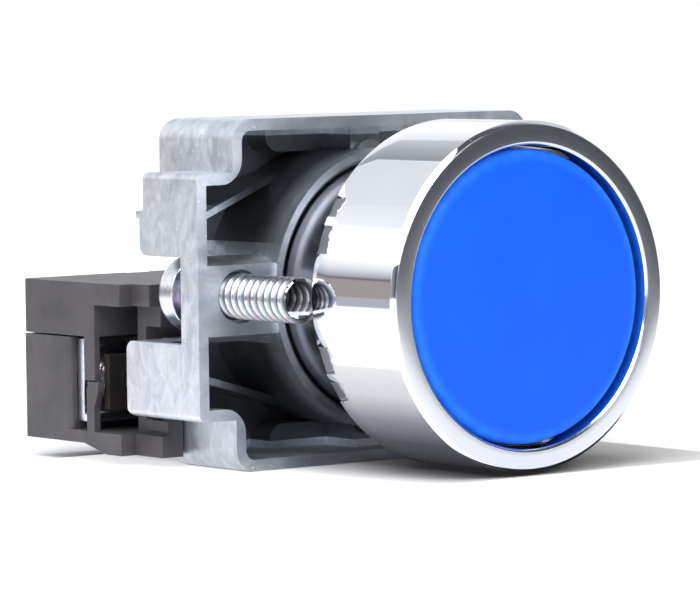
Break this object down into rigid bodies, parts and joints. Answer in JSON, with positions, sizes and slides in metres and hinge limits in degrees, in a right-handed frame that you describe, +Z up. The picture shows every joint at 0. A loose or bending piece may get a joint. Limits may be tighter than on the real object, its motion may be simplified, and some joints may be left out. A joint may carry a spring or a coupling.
{
  "type": "industrial push button",
  "caption": "Round flush panel push button with a chromed bezel, a fixing collar with clamp screws and a screw-terminal contact block.",
  "frame": {"origin": "on the button's axis, in the plane of the bezel's and the gasket's rear face, where the panel's front face bears", "axes": "+Y along the button's axis, from the front of the panel to its back, so a finger presses towards +Y; +Z up across the 30 mm width of the collar; +X along its 40 mm length"},
  "size_m": [0.04, 0.0459, 0.03],
  "materials": {
    "chrome_bezel": "polished chrome plate on die-cast zinc, turned front ring",
    "barrel_metal": "dull plated metal",
    "black_rubber": "soft matt rubber",
    "spring_steel": "drawn spring wire",
    "blue_cap": "fine-grained satin blue moulding",
    "dark_plunger": "dark grey moulding",
    "zinc_casting": "bare die-cast zinc, satin and mottled",
    "plated_screw": "bright zinc plate with a faint iridescence",
    "block_plastic": "fine-grained charcoal moulding",
    "green_pusher": "smooth green moulding",
    "brass_strip": "stamped brass",
    "silver_tip": "silver contact rivet"
  },
  "bodies": {
    "base": {"bezel": "chrome_bezel", "head_barrel": "barrel_metal", "panel_gasket": "black_rubber", "cap_seal": "black_rubber", "retaining_clip": "spring_steel", "return_spring": "spring_steel", "fixing_collar": "zinc_casting", "contact_housing": "block_plastic", "contact_cover": "block_plastic", "pusher_spring": "spring_steel", "fixed_tips": "silver_tip", "fixed_contact_left": "brass_strip", "fixed_contact_right": "brass_strip"},
    "button": {"button_cap": "blue_cap", "plunger": "dark_plunger"},
    "pusher": {"contact_plunger": "green_pusher", "bridge_spring": "spring_steel"},
    "bridge": {"moving_bridge": "brass_strip", "bridge_tips": "silver_tip"},
    "clamp_left": {"clamp_screw_left": "plated_screw"},
    "clamp_right": {"clamp_screw_right": "plated_screw"},
    "terminal_left": {"terminal_screw_left": "plated_screw", "terminal_saddle_left": "plated_screw"},
    "terminal_right": {"terminal_screw_right": "plated_screw", "terminal_saddle_right": "plated_screw"}
  },
  "joints": [
    {"name": "button_press", "type": "slide", "parent": "base", "child": "button", "axis": [0, 1, 0], "range_m": [0, 0.0043], "stiffness_N_per_m": 400, "springref_m": -0.004, "deforming": ["return_spring"]},
    {"name": "pusher_slide", "type": "slide", "parent": "base", "child": "pusher", "axis": [0, 1, 0], "range_m": [0, 0.0043], "deforming": ["pusher_spring"]},
    {"name": "bridge_slide", "type": "slide", "parent": "pusher", "child": "bridge", "axis": [0, -1, 0], "range_m": [0, 0.0017], "deforming": ["bridge_spring"]},
    {"name": "clamp_screw_left_travel", "type": "slide", "parent": "base", "child": "clamp_left", "axis": [0, 1, 0], "range_m": [0, 0.0012]},
    {"name": "clamp_screw_right_travel", "type": "slide", "parent": "base", "child": "clamp_right", "axis": [0, 1, 0], "range_m": [0, 0.0012]},
    {"name": "terminal_left_tighten", "type": "slide", "parent": "base", "child": "terminal_left", "axis": [0, -1, 0], "range_m": [0, 0.003]},
    {"name": "terminal_right_tighten", "type": "slide", "parent": "base", "child": "terminal_right", "axis": [0, -1, 0], "range_m": [0, 0.003]}
  ],
  "couplings": [
    {"joint": "pusher_slide", "follows": "button_press", "ratio": 1},
    {"joint": "bridge_slide", "follows": "button_press", "ratio": 0.395}
  ]
}
